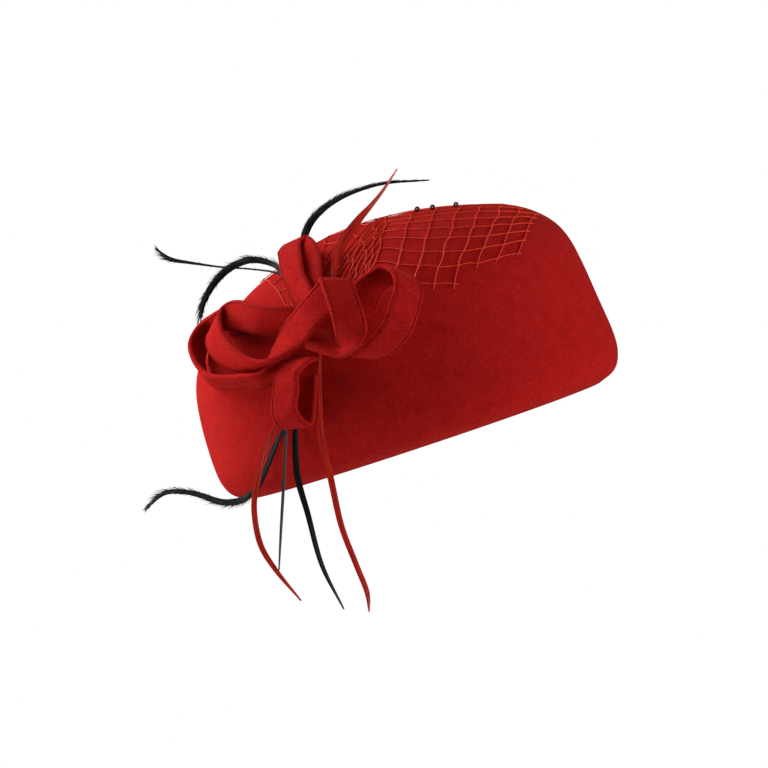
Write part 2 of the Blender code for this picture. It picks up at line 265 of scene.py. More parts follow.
# Share of each feather's barbs that stand off loosely
FLUFF = {
    "feather_black_arched": 0.01,
    "feather_black_curled": 0.22,
    "feather_black_thin": 0.02,
    "feather_black_wavy": 0.10,
}
QUILLS = {
    "feather_red_blade": (
        (-0.095, 0.439, 0.721, 0.36),
        (-0.081, 0.393, 0.804, 0.68),
        (-0.048, 0.327, 0.905, 1.08),
        (0.003, 0.306, 0.981, 0.84),
        (0.049, 0.295, 1.033, 0.48),
        (0.085, 0.291, 1.078, 0.32),
        (0.128, 0.286, 1.142, 0.14),
    ),
    "quill_red_long": (
        (-0.296, 0.422, 0.327, 0.34),
        (-0.320, 0.415, 0.262, 0.46),
        (-0.353, 0.421, 0.187, 0.54),
        (-0.392, 0.439, 0.069, 0.59),
        (-0.414, 0.454, -0.028, 0.59),
        (-0.424, 0.459, -0.164, 0.59),
        (-0.410, 0.459, -0.286, 0.49),
        (-0.379, 0.454, -0.439, 0.17),
    ),
    "quill_black_short": (
        (-0.277, 0.442, 0.306, 0.24),
        (-0.292, 0.445, 0.241, 0.28),
        (-0.326, 0.447, 0.077, 0.32),
        (-0.371, 0.461, -0.136, 0.28),
        (-0.403, 0.467, -0.290, 0.16),
    ),
    "quill_black_long": (
        (-0.250, 0.450, 0.306, 0.38),
        (-0.272, 0.446, 0.234, 0.58),
        (-0.299, 0.449, 0.060, 0.67),
        (-0.304, 0.464, -0.112, 0.58),
        (-0.310, 0.470, -0.325, 0.48),
        (-0.295, 0.470, -0.525, 0.17),
    ),
    "quill_red_pointed": (
        (-0.168, 0.465, 0.499, 0.42),
        (-0.187, 0.473, 0.406, 0.61),
        (-0.203, 0.479, 0.312, 0.71),
        (-0.222, 0.480, 0.174, 0.71),
        (-0.231, 0.490, -0.006, 0.66),
        (-0.241, 0.500, -0.196, 0.61),
        (-0.237, 0.500, -0.370, 0.57),
        (-0.234, 0.500, -0.484, 0.52),
        (-0.243, 0.500, -0.564, 0.17),
    ),
}

# The camera: level with the hat, which leans in the picture by the roll
CAMERA_LENS = 100.0
CAMERA_SENSOR = 36.0
CAMERA_DISTANCE = 1.1584
CAMERA_ELEVATION = 0.3
CAMERA_ROLL = 18.5
CAMERA_TARGET = (-0.01249, 0.0, 0.03584)


class HatFeltSettings(bpy.types.PropertyGroup):
    """Felt of the crown and the ribbons"""

    wall: bpy.props.FloatProperty(
        name="Wall", description="Thickness of the crown's felt",
        default=0.0025, unit="LENGTH",
    )
    segments: bpy.props.IntProperty(
        name="Segments", description="Steps round the crown", default=128,
    )
    nap: bpy.props.FloatProperty(
        name="Nap", description="Size of the nap's tufts", default=0.0009, unit="LENGTH",
    )
    light: bpy.props.StringProperty(
        name="Light felt", description="Colour of the raised fibres", default="DC2420",
    )
    # Dark end of the felt's mottle: partly random tone, partly painted shade where the nap sinks
    # between its tufts
    dark: bpy.props.StringProperty(
        name="Dark felt", description="Colour between the fibres", default="A00A0E",
    )


class HatBowSettings(bpy.types.PropertyGroup):
    """Doubled and stitched ribbons of the bow"""

    width: bpy.props.FloatProperty(
        name="Width", description="Ribbon from edge to edge", default=0.017, unit="LENGTH",
    )
    thickness: bpy.props.FloatProperty(
        name="Thickness", description="Both layers of felt", default=0.0028, unit="LENGTH",
    )
    steps: bpy.props.IntProperty(
        name="Steps", description="Rings between two stations", default=10,
    )
    seam_inset: bpy.props.FloatProperty(
        name="Seam inset", description="Stitch line from the edge", default=0.0017, unit="LENGTH",
    )
    seam_depth: bpy.props.FloatProperty(
        name="Seam depth", description="Groove that the thread pulls in",
        default=0.0003, unit="LENGTH",
    )
    stitch: bpy.props.FloatProperty(
        name="Stitch", description="Length of one stitch", default=0.0021, unit="LENGTH",
    )
    stitch_pitch: bpy.props.FloatProperty(
        name="Stitch pitch", description="From one stitch to the next",
        default=0.0027, unit="LENGTH",
    )
    stitch_colour: bpy.props.StringProperty(
        name="Stitch colour", description="Sewing thread", default="5A0408",
    )


class HatNetSettings(bpy.types.PropertyGroup):
    """Veil net and its beads"""

    thread: bpy.props.FloatProperty(
        name="Thread", description="Diameter of the net's thread", default=0.00055, unit="LENGTH",
    )
    knot: bpy.props.FloatProperty(
        name="Knot", description="Diameter of a knot", default=0.0011, unit="LENGTH",
    )
    whisker: bpy.props.FloatProperty(
        name="Whisker", description="Cut thread left at an edge knot",
        default=0.0028, unit="LENGTH",
    )
    bead: bpy.props.FloatProperty(
        name="Bead", description="Diameter of a bead", default=0.0028, unit="LENGTH",
    )
    thread_colour: bpy.props.StringProperty(
        name="Net colour", description="Dyed net thread", default="FF4A30",
    )
    bead_colour: bpy.props.StringProperty(
        name="Bead colour", description="Glass of the beads", default="7A0A12",
    )


class HatFeatherSettings(bpy.types.PropertyGroup):
    """Feathers and stripped quills"""

    shaft: bpy.props.FloatProperty(
        name="Shaft", description="Diameter of a shaft at its root", default=0.0011, unit="LENGTH",
    )
    barb_pitch: bpy.props.FloatProperty(
        name="Barb pitch", description="From one barb to the next", default=0.00042, unit="LENGTH",
    )
    quill_thickness: bpy.props.FloatProperty(
        name="Quill thickness", description="Thickness of a quill", default=0.0008, unit="LENGTH",
    )
    black: bpy.props.StringProperty(
        name="Black feather", description="Dyed barbs", default="0A1014",
    )
    red: bpy.props.StringProperty(
        name="Red quill", description="Dyed quill", default="EA3420",
    )


class HatStageSettings(bpy.types.PropertyGroup):
    """Floor, lamps and camera"""

    floor_drop: bpy.props.FloatProperty(
        name="Floor", description="Floor below the rim", default=0.5, unit="LENGTH",
    )
    left_power: bpy.props.FloatProperty(
        name="Left lamp", description="Power of the softbox on the left in watts", default=6.0,
    )
    right_power: bpy.props.FloatProperty(
        name="Right lamps", description="Power that the two low softboxes on the right share, in watts",
        default=3.0,
    )
    top_power: bpy.props.FloatProperty(
        name="Top lamp", description="Power of the softbox overhead in watts", default=12.0,
    )


def linear(colour):
    """Linear colour of an sRGB hex value."""
    parts = [int(colour[place:place + 2], 16) / 255 for place in (0, 2, 4)]
    parts = [p / 12.92 if p <= 0.04045 else ((p + 0.055) / 1.055) ** 2.4 for p in parts]
    return (*parts, 1.0)


def add_node(tree, kind, inputs=None, **settings):
    """Adds a node; an input is a value, or the socket that feeds it."""
    made = tree.nodes.new(kind)
    for name, value in settings.items():
        setattr(made, name, value)
    for name, value in (inputs or {}).items():
        if isinstance(value, bpy.types.NodeSocket):
            tree.links.new(value, made.inputs[name])
        else:
            made.inputs[name].default_value = value
    return made


def new_material(name):
    material = bpy.data.materials.new(name)
    material.use_nodes = True
    material.node_tree.nodes.clear()
    return material, material.node_tree


def finish_material(tree, shader):
    add_node(tree, "ShaderNodeOutputMaterial", {"Surface": shader.outputs["BSDF"]})


def set_ramp(ramp, stops):
    """Colour stops of a ramp: place and linear colour."""
    elements = ramp.color_ramp.elements
    while len(elements) < len(stops):
        elements.new(0.5)
    for element, (place, colour) in zip(elements, stops):
        element.position = place
        element.color = colour


def felt_material(name, tuft, light, dark, contrast):
    """Wool felt, fulled and brushed: matt, mottled by tufts of fibre, with painted shade where the nap
    sinks between the tufts, its nap pale at the edges.
    """
    material, tree = new_material(name)
    place = add_node(tree, "ShaderNodeTexCoord").outputs["Object"]
    tufts = add_node(
        tree, "ShaderNodeTexNoise",
        {"Vector": place, "Scale": 1 / tuft, "Detail": 4.0, "Roughness": 0.7, "Distortion": 1.2},
    )
    clouds = add_node(
        tree, "ShaderNodeTexNoise",
        {"Vector": place, "Scale": 1 / (9 * tuft), "Detail": 2.0, "Roughness": 0.5},
    )
    fibres = add_node(
        tree, "ShaderNodeTexNoise",
        {"Vector": place, "Scale": 1 / (0.35 * tuft), "Detail": 2.0, "Distortion": 2.5},
    )
    mixed = add_node(
        tree, "ShaderNodeMix",
        {0: 0.16, 2: tufts.outputs["Fac"], 3: clouds.outputs["Fac"]},
        data_type="FLOAT",
    )
    # Ramp from the dark end to the light: random mottle, and painted shade where the tufts noise also
    # sinks the bump below
    ramp = add_node(tree, "ShaderNodeValToRGB", {"Fac": mixed.outputs[0]})
    set_ramp(ramp, ((0.5 - contrast, linear(dark)), (0.5 + contrast, linear(light))))
    height = add_node(
        tree, "ShaderNodeMix",
        {0: 0.4, 2: tufts.outputs["Fac"], 3: fibres.outputs["Fac"]},
        data_type="FLOAT",
    )
    bump = add_node(
        tree, "ShaderNodeBump",
        {"Height": height.outputs[0], "Strength": 1.0, "Distance": 0.6 * tuft},
    )
    shader = add_node(
        tree, "ShaderNodeBsdfPrincipled",
        {
            "Base Color": ramp.outputs["Color"],
            "Normal": bump.outputs["Normal"],
            "Roughness": 0.95,
            "Specular IOR Level": 0.08,
            "Sheen Weight": 0.26,
            "Sheen Roughness": 0.4,
            "Sheen Tint": linear("FF5A48"),
        },
    )
    finish_material(tree, shader)
    return material


def thread_material(name, colour, roughness):
    """Twisted polyester thread: nearly matt, with painted shade in the grooves of its fine twist."""
    material, tree = new_material(name)
    place = add_node(tree, "ShaderNodeTexCoord").outputs["Object"]
    twist = add_node(
        tree, "ShaderNodeTexNoise", {"Vector": place, "Scale": 1 / (0.5 * MM), "Detail": 2.0},
    )
    ramp = add_node(tree, "ShaderNodeValToRGB", {"Fac": twist.outputs["Fac"]})
    base = linear(colour)
    # The darker copy of the thread's colour is painted shade, laid where the twist noise sinks the bump
    shade = tuple(part * 0.7 for part in base[:3]) + (1.0,)
    set_ramp(ramp, ((0.35, shade), (0.6, base)))
    bump = add_node(
        tree, "ShaderNodeBump",
        {"Height": twist.outputs["Fac"], "Strength": 0.4, "Distance": 0.1 * MM},
    )
    shader = add_node(
        tree, "ShaderNodeBsdfPrincipled",
        {
            "Base Color": ramp.outputs["Color"],
            "Normal": bump.outputs["Normal"],
            "Roughness": roughness,
            "Specular IOR Level": 0.15,
        },
    )
    finish_material(tree, shader)
    return material


def keratin_material(name, colour, deep, gloss, streak):
    """Dyed feather, stripped and pressed: glossy, streaked along its run by the barbs' roots."""
    material, tree = new_material(name)
    along = add_node(tree, "ShaderNodeUVMap", uv_map="run")
    stretched = add_node(
        tree, "ShaderNodeMapping", {"Vector": along.outputs["UV"], "Scale": streak},
    )
    streaks = add_node(
        tree, "ShaderNodeTexNoise",
        {"Vector": stretched.outputs["Vector"], "Scale": 1.0, "Detail": 3.0, "Roughness": 0.6},
    )
    ramp = add_node(tree, "ShaderNodeValToRGB", {"Fac": streaks.outputs["Fac"]})
    set_ramp(ramp, ((0.35, linear(deep)), (0.65, linear(colour))))
    bump = add_node(
        tree, "ShaderNodeBump",
        {"Height": streaks.outputs["Fac"], "Strength": 0.35, "Distance": 0.15 * MM},
    )
    shader = add_node(
        tree, "ShaderNodeBsdfPrincipled",
        {
            "Base Color": ramp.outputs["Color"],
            "Normal": bump.outputs["Normal"],
            "Roughness": gloss,
            "Specular IOR Level": 0.35,
        },
    )
    finish_material(tree, shader)
    return material


def glass_material(name, colour):
    """Pressed glass bead: deep red, with a sharp highlight."""
    material, tree = new_material(name)
    place = add_node(tree, "ShaderNodeTexCoord").outputs["Object"]
    flow = add_node(
        tree, "ShaderNodeTexNoise", {"Vector": place, "Scale": 1 / (1.5 * MM), "Detail": 1.0},
    )
    ramp = add_node(tree, "ShaderNodeValToRGB", {"Fac": flow.outputs["Fac"]})
    base = linear(colour)
    set_ramp(ramp, ((0.3, tuple(part * 0.6 for part in base[:3]) + (1.0,)), (0.7, base)))
    shader = add_node(
        tree, "ShaderNodeBsdfPrincipled",
        {
            "Base Color": ramp.outputs["Color"],
            "Roughness": 0.08,
            "IOR": 1.52,
            "Transmission Weight": 0.25,
            "Coat Weight": 0.5,
        },
    )
    finish_material(tree, shader)
    return material


def smooth_through(rows, place):
    """Catmull-Rom value at a fractional row number."""
    rows = np.asarray(rows, dtype=float)
    index = min(max(int(math.floor(place)), 0), len(rows) - 2)
    share = place - index
    start = rows[index]
    end = rows[index + 1]
    before = rows[index - 1] if index > 0 else 2 * start - end
    after = rows[index + 2] if index + 2 < len(rows) else 2 * end - start
    straight = end - before
    square = 2 * before - 5 * start + 4 * end - after
    cube = after - before + 3 * start - 3 * end
    return start + 0.5 * share * (straight + share * (square + share * cube))


def profile_samples(steps):
    count = (len(CROWN_PROFILE) - 1) * steps
    samples = np.array([smooth_through(CROWN_PROFILE, place / steps) for place in range(count + 1)])
    samples[-1, 1] = 0.0
    return samples


def profile_by_rise():
    """Fine profile with the share of the way up its length beside each sample."""
    samples = profile_samples(60)
    across = samples[:, 1] * (CROWN_LENGTH + CROWN_DEPTH) / 4
    up = samples[:, 0] * CROWN_HEIGHT
    runs = np.concatenate([[0.0], np.cumsum(np.hypot(np.diff(across), np.diff(up)))])
    return runs / runs[-1], samples, runs[-1]


RISES, PROFILE_FINE, SLOPE_LENGTH = profile_by_rise()


def oval(angle):
    """Unit oval in plan, slightly squarer than an ellipse."""
    side = math.cos(angle)
    front = math.sin(angle)
    size = (abs(side) ** OVAL_POWER + abs(front) ** OVAL_POWER) ** (-1 / OVAL_POWER)
    return size * side, size * front


def place_on_crown(angle, height, reach, shift):
    side, front = oval(angle)
    return np.array((
        CROWN_LENGTH / 2 * (reach * side + shift),
        CROWN_DEPTH / 2 * reach * front,
        CROWN_HEIGHT * height,
    ))


def crown_point(turn, rise):
    height, reach, shift = [np.interp(rise, RISES, PROFILE_FINE[:, part]) for part in range(3)]
    return place_on_crown(math.radians(-90 - turn), height, reach, shift)


def crown_axes(turn, rise):
    """Place on the crown with level-right, upward and outward directions there."""
    small = 0.05
    point = crown_point(turn, rise)
    right = crown_point(turn - small, rise) - crown_point(turn + small, rise)
    up = crown_point(turn, min(rise + 0.001, 1.0)) - crown_point(turn, rise - 0.001)
    right /= np.linalg.norm(right)
    outward = np.cross(right, up)
    outward /= np.linalg.norm(outward)
    return point, right, np.cross(outward, right), outward


def unit(vector):
    return vector / max(np.linalg.norm(vector), 1e-12)


def deselect():
    if bpy.context.mode != "OBJECT":
        bpy.ops.object.mode_set(mode="OBJECT")
    bpy.ops.object.select_all(action="DESELECT")


def make_active(thing):
    deselect()
    thing.select_set(True)
    bpy.context.view_layer.objects.active = thing


def apply_modifiers(thing):
    make_active(thing)
    for modifier in list(thing.modifiers):
        bpy.ops.object.modifier_apply(modifier=modifier.name)


def settle(thing, material, node):
    """Gives a finished piece its material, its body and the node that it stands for."""
    thing.data.materials.clear()
    thing.data.materials.append(material)
    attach(thing, BODY)
    if node:
        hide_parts(node)
    return thing


def tidy_normals(thing, gap):
    """Merges doubles, turns the faces outward and shades the piece smooth."""
    make_active(thing)
    bpy.ops.object.mode_set(mode="EDIT")
    bpy.ops.mesh.select_all(action="SELECT")
    bpy.ops.mesh.remove_doubles(threshold=gap)
    bpy.ops.mesh.normals_make_consistent(inside=False)
    bpy.ops.object.mode_set(mode="OBJECT")
    bpy.ops.object.shade_smooth_by_angle(angle=math.radians(50))


def swept(name, centres, sides, section, taper=None):
    """A closed bar: the section's points, shares of the side vector and metres along the normal,
    carried along the centres. taper scales the section at each centre."""
    count = len(centres)
    around = len(section)
    deselect()
    bpy.ops.mesh.primitive_grid_add(x_subdivisions=count - 1, y_subdivisions=around, size=1.0)
    bar = bpy.context.active_object
    bar.name = name
    runs = np.gradient(np.asarray(centres), axis=0)
    layer = bar.data.uv_layers.active or bar.data.uv_layers.new()
    layer.name = "run"
    lengths = np.concatenate([[0], np.cumsum(np.linalg.norm(np.diff(centres, axis=0), axis=1))])
    turns = []
    for vert in bar.data.vertices:
        step = min(int(round((vert.co.x + 0.5) * (count - 1))), count - 1)
        corner = int(round((vert.co.y + 0.5) * around))
        across, out = section[corner % around]
        side = sides[step]
        outward = unit(np.cross(runs[step], side))
        scale = 1.0 if taper is None else taper[step]
        vert.co = centres[step] + scale * across * side + scale * out * outward
        turns.append((lengths[step], corner / around))
    for loop in bar.data.loops:
        layer.data[loop.index].uv = turns[loop.vertex_index]
    make_active(bar)
    bpy.ops.object.mode_set(mode="EDIT")
    bpy.ops.mesh.select_all(action="SELECT")
    bpy.ops.mesh.remove_doubles(threshold=1e-6)
    bpy.ops.mesh.select_all(action="DESELECT")
    bpy.ops.mesh.select_mode(type="EDGE")
    bpy.ops.mesh.select_non_manifold(extend=False)
    bpy.ops.mesh.fill_holes(sides=0)
    bpy.ops.mesh.select_all(action="SELECT")
    bpy.ops.mesh.normals_make_consistent(inside=False)
    bpy.ops.object.mode_set(mode="OBJECT")
    bpy.ops.object.shade_smooth_by_angle(angle=math.radians(50))
    return bar


def joined_copies(name, stamp, places):
    """One mesh of copies of a stamp, each at a place: origin and three axes as columns."""
    points = np.array([vert.co[:] for vert in stamp.data.vertices])
    faces = [list(face.vertices) for face in stamp.data.polygons]
    all_points = np.concatenate([points @ axes.T + origin for origin, axes in places])
    all_faces = [
        [corner + copy * len(points) for corner in face]
        for copy in range(len(places))
        for face in faces
    ]
    mesh = bpy.data.meshes.new(name)
    mesh.from_pydata(all_points.tolist(), [], all_faces)
    mesh.update()
    thing = bpy.data.objects.new(name, mesh)
    bpy.context.scene.collection.objects.link(thing)
    bpy.data.objects.remove(stamp)
    make_active(thing)
    bpy.ops.object.shade_smooth()
    return thing


def thread_lines(name, lines, diameter):
    """Round threads along point lists, as one mesh."""
    curve = bpy.data.curves.new(name, "CURVE")
    curve.dimensions = "3D"
    curve.bevel_depth = diameter / 2
    curve.bevel_resolution = 1
    curve.use_fill_caps = True
    for points in lines:
        spline = curve.splines.new("POLY")
        spline.points.add(len(points) - 1)
        for target, point in zip(spline.points, points):
            target.co = (*point, 1.0)
    thing = bpy.data.objects.new(name, curve)
    bpy.context.scene.collection.objects.link(thing)
    make_active(thing)
    bpy.ops.object.convert(target="MESH")
    thing = bpy.context.active_object
    tidy_normals(thing, 1e-6)
    return thing


class HAT_OT_crown(bpy.types.Operator):
    """Makes the felt crown: its profile spun round and drawn out to the oval"""

    bl_idname = "hat.crown"
    bl_label = "Crown"

    def execute(self, context):
        felt = context.scene.hat_felt
        samples = profile_samples(5)
        mesh = bpy.data.meshes.new("crown_felt")
        rim = [(reach, 0.0, height) for height, reach, shift in samples]
        mesh.from_pydata(rim, [(place, place + 1) for place in range(len(rim) - 1)], [])
        crown = bpy.data.objects.new("crown_felt", mesh)
        bpy.context.scene.collection.objects.link(crown)
        make_active(crown)
        bpy.ops.object.mode_set(mode="EDIT")
        bpy.ops.mesh.select_all(action="SELECT")
        bpy.ops.mesh.spin(
            steps=felt.segments, angle=math.tau, center=(0, 0, 0), axis=(0, 0, 1),
        )
        bpy.ops.mesh.select_all(action="SELECT")
        bpy.ops.mesh.remove_doubles(threshold=1e-5)
        bpy.ops.object.mode_set(mode="OBJECT")
        heights = samples[:, 0]
        for vert in crown.data.vertices:
            x, y, height = vert.co
            shift = np.interp(height, heights, samples[:, 2])
            vert.co = place_on_crown(math.atan2(y, x), height, math.hypot(x, y), shift)
        tidy_normals(crown, 1e-7)
        wall = crown.modifiers.new("Wall", "SOLIDIFY")
        wall.thickness = felt.wall
        wall.offset = -1.0
        apply_modifiers(crown)
        material = felt_material("wool_felt_blocked", felt.nap, felt.light, felt.dark, 0.16)
        settle(crown, material, "crown")
        return {"FINISHED"}


def ribbon_rings(rows, width, steps):
    """Centres and full-width side vectors along one ribbon."""
    centres = []
    sides = []
    for turn, rise, lift, swing, tilt in rows:
        point, right, up, outward = crown_axes(turn, rise)
        swing = math.radians(swing)
        tilt = math.radians(tilt)
        level = math.cos(swing) * right + math.sin(swing) * up
        centres.append(point + lift * width * outward)
        sides.append(width * (math.cos(tilt) * level + math.sin(tilt) * outward))
    count = (len(rows) - 1) * steps
    places = [place / steps for place in range(count + 1)]
    return (
        np.array([smooth_through(centres, place) for place in places]),
        np.array([smooth_through(sides, place) for place in places]),
    )


def ribbon_section(bow):
    """Half outline of a doubled ribbon: rolled edge, stitched groove, flat face; then its mirror."""
    half = bow.thickness / 2
    roll = bow.thickness / 2 / bow.width
    seam = bow.seam_inset / bow.width
    top = [
        (0.5, 0.0),
        (0.5 - 0.29 * roll, 0.71 * half),
        (0.5 - roll, half),
        (0.5 - seam + 0.35 * roll, half - 0.15 * bow.seam_depth),
        (0.5 - seam, half - bow.seam_depth),
        (0.5 - seam - 0.45 * roll, half - 0.3 * bow.seam_depth),
        (0.5 - seam - 1.1 * roll, half - 0.1 * bow.seam_depth),
        (0.12, half),
    ]
    top += [(-across, out) for across, out in reversed(top[1:])]
    under = [(across, -out) for across, out in reversed(top)]
    return top + [(-0.5, 0.0)] + under[:-1]


class HAT_OT_bow(bpy.types.Operator):
    """Makes the bow's doubled felt ribbons and their edge stitches"""

    bl_idname = "hat.bow"
    bl_label = "Bow"

    def execute(self, context):
        bow = context.scene.hat_bow
        felt = context.scene.hat_felt
        material = felt_material("wool_felt_ribbon", 0.9 * felt.nap, felt.light, felt.dark, 0.12)
        thread = thread_material("polyester_sewing_thread", bow.stitch_colour, 0.6)
        section = ribbon_section(bow)
        for name, rows in BOW.items():
            centres, sides = ribbon_rings(rows, bow.width, bow.steps)
            ribbon = swept(name + "_felt", centres, sides, section)
            settle(ribbon, material, name)
            stitches = self.stitches(name, centres, sides, bow)
            settle(stitches, thread, None)
        return {"FINISHED"}

    def stitches(self, name, centres, sides, bow):
        """Stitches along both edges, on both faces of the ribbon."""
        deselect()
        bpy.ops.mesh.primitive_uv_sphere_add(segments=6, ring_count=4, radius=0.5)
        stamp = bpy.context.active_object
        runs = np.gradient(centres, axis=0)
        lengths = np.concatenate([[0], np.cumsum(np.linalg.norm(np.diff(centres, axis=0), axis=1))])
        places = []
        for edge in (-1, 1):
            for face in (-1, 1):
                for run in np.arange(bow.stitch_pitch, lengths[-1], bow.stitch_pitch):
                    step = np.interp(run, lengths, np.arange(len(lengths)))
                    low = min(int(step), len(centres) - 2)
                    share = step - low
                    centre = centres[low] + share * (centres[low + 1] - centres[low])
                    side = sides[low] + share * (sides[low + 1] - sides[low])
                    ahead = unit(runs[low] + share * (runs[low + 1] - runs[low]))
                    outward = unit(np.cross(ahead, side))
                    out = bow.thickness / 2 - bow.seam_depth
                    origin = centre + edge * (0.5 - bow.seam_inset / bow.width) * side
                    origin = origin + face * out * outward
                    across = np.cross(outward, ahead)
                    axes = np.column_stack((
                        ahead * bow.stitch, across * 0.62 * MM, outward * 0.5 * MM,
                    ))
                    places.append((origin, axes))
        return joined_copies(name + "_stitches", stamp, places)


def net_flat(column, row):
    """Knot in the flat net; columns below zero are drawn in towards the bow."""
    start, right, left, left_start, left_end = CROWN_LENGTH * np.array(
        (NET_START, NET_GATHER_RIGHT, NET_GATHER_LEFT, NET_LEFT_START, NET_LEFT_END)
    )
    if row <= NET_LAST_FAR_ROW:
        bend = 1 - (max(column, 0) / NET_BEND_COLUMNS - 1) ** 2
        along = max(column, 0) * (NET_CELL_LENGTH - row * NET_CELL_LOSS) + row * NET_SKEW
        edge = start + (along, row * NET_ROW_LENGTH - NET_DIP * bend)
    else:
        share = (row - NET_LAST_FAR_ROW) / NET_LEFT_ROWS
        edge = left_start + share * (left_end - left_start)
        edge = edge + NET_SWELL * math.sin(share * math.pi) * (edge - left)
    gather = right + row / (NET_LAST_FAR_ROW + NET_LEFT_ROWS) * (left - right)
    return edge + NET_DRAW * max(-column, 0) / NET_GATHER_COLUMNS * (gather - edge)


def on_net(x, y, lift):
    """Flat net place laid on the crown, its distance from the top kept along the surface."""
    rise = 1 - math.hypot(x, y) / SLOPE_LENGTH
    turn = -90 - math.degrees(math.atan2(y, x))
    point, right, up, outward = crown_axes(turn, rise)
    return point + lift * outward


class HAT_OT_net(bpy.types.Operator):
    """Makes the veil net: its threads, knots and cut ends"""

    bl_idname = "hat.net"
    bl_label = "Veil net"

    def execute(self, context):
        net = context.scene.hat_net
        knots = set()
        edges = set()
        for row, first, last in NET_CELL_COUNTS:
            for column in range(first, last + 1):
                corners = (
                    (column, row), (column + 1, row), (column + 1, row + 1), (column, row + 1),
                )
                knots.update(corners)
                for one, two in zip(corners, corners[1:] + corners[:1]):
                    edges.add((min(one, two), max(one, two)))
        draws = np.random.default_rng(7)
        tied = {knot: self.tied(*knot, draws) for knot in sorted(knots)}
        lines = [
            self.line(tied[one], tied[two], draws.uniform(-0.07, 0.07))
            for one, two in sorted(edges)
        ]
        lines += self.whiskers(tied, edges, net.whisker)
        threads = thread_lines("veil_net_threads", lines, net.thread)
        material = thread_material("polyester_veil_net", net.thread_colour, 0.45)
        settle(threads, material, "veil_net")
        deselect()
        bpy.ops.mesh.primitive_ico_sphere_add(subdivisions=2, radius=0.5)
        stamp = bpy.context.active_object
        places = [(on_net(*place, NET_LIFT), np.eye(3) * net.knot) for place in tied.values()]
        knobs = joined_copies("veil_net_knots", stamp, places)
        settle(knobs, material, None)
        return {"FINISHED"}

    def tied(self, column, row, draws):
        """Flat place of a knot: none is quite on the grid, and gathered ones zigzag."""
        if column < 0:
            column += 0.16 if row % 2 else -0.16
        jitter = draws.uniform(-0.06, 0.06, 2)
        return np.array(net_flat(column + jitter[0], row + jitter[1]))

    def line(self, start, end, slack):
        """Thread between two knots, bowed off the straight by its slack."""
        run = end - start
        aside = slack * np.array((-run[1], run[0]))
        return [
            on_net(*(start + place * run + 4 * place * (1 - place) * aside), NET_LIFT)
            for place in np.linspace(0, 1, 9)
        ]

    def whiskers(self, tied, edges, length):
        """Cut ends that run on past each knot of the free edge."""
        ends = []
        for column, row in tied:
            if column < 0:
                continue
            for step_column, step_row in ((1, 0), (-1, 0), (0, 1), (0, -1)):
                ahead = (column + step_column, row + step_row)
                behind = (column - step_column, row - step_row)
                there = (min((column, row), ahead), max((column, row), ahead))
                back = (min((column, row), behind), max((column, row), behind))
                if there in edges or back not in edges:
                    continue
                here = tied[column, row]
                run = unit(here - tied[behind])
                ends.append([
                    on_net(*(here + share * length * run), NET_LIFT)
                    for share in (0.0, 0.5, 1.0)
                ])
        return ends


class HAT_OT_beads(bpy.types.Operator):
    """Makes the beads on the net"""

    bl_idname = "hat.beads"
    bl_label = "Beads"

    def execute(self, context):
        net = context.scene.hat_net
        material = glass_material("pressed_glass_bead", net.bead_colour)
        for number in range(1, len(BEAD_PLACES) + 1):
            name = "bead_" + str(number)
            deselect()
            bpy.ops.mesh.primitive_torus_add(
                major_segments=24,
                minor_segments=16,
                major_radius=0.30 * net.bead,
                minor_radius=0.22 * net.bead,
            )
            bead = bpy.context.active_object
            bead.name = name + "_glass"
            middle = np.array(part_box(name)).mean(axis=0)
            for vert in bead.data.vertices:
                vert.co = Vector((vert.co.x, vert.co.z, vert.co.y)) * 0.98 + Vector(middle)
            tidy_normals(bead, 1e-7)
            settle(bead, material, name)
        return {"FINISHED"}


def blade_rings(rows, steps):
    """Centres and side vectors of a feather's blade, which faces the bow's side of the hat."""
    table = np.array(rows)
    centres = table[:, :3] * (CROWN_LENGTH, -CROWN_DEPTH, CROWN_HEIGHT)
    runs = np.gradient(centres, axis=0)
    sides = []
    for run, width in zip(runs, table[:, 3]):
        sides.append(unit(np.cross(run, (0.0, 1.0, 0.0))) * width * FEATHER_WIDTH)
    places = [place / steps for place in range((len(rows) - 1) * steps + 1)]
    return (
        np.array([smooth_through(centres, place) for place in places]),
        np.array([smooth_through(sides, place) for place in places]),
    )


class HAT_OT_quills(bpy.types.Operator):
    """Makes the stripped quills: narrow glossy blades ridged along the middle"""

    bl_idname = "hat.quills"
    bl_label = "Quills"

    def execute(self, context):
        feather = context.scene.hat_feather
        streak = (60.0, 14.0, 1.0)
        red = keratin_material("dyed_quill_red", feather.red, "A31510", 0.32, streak)
        black = keratin_material("dyed_quill_black", "0C1214", "040607", 0.42, streak)
        thick = feather.quill_thickness / 2
        section = (
            (0.5, 0.0), (0.34, 0.5 * thick), (0.12, 0.6 * thick), (0.0, thick),
            (-0.12, 0.6 * thick), (-0.34, 0.5 * thick), (-0.5, 0.0),
            (-0.34, -0.4 * thick), (-0.12, -0.55 * thick), (0.0, -0.6 * thick),
            (0.12, -0.55 * thick), (0.34, -0.4 * thick),
        )
        for name, rows in QUILLS.items():
            centres, sides = blade_rings(rows, 10)
            quill = swept(name + "_blade", centres, sides, section)
            is_red = "red" in name
            settle(quill, red if is_red else black, name)
        return {"FINISHED"}


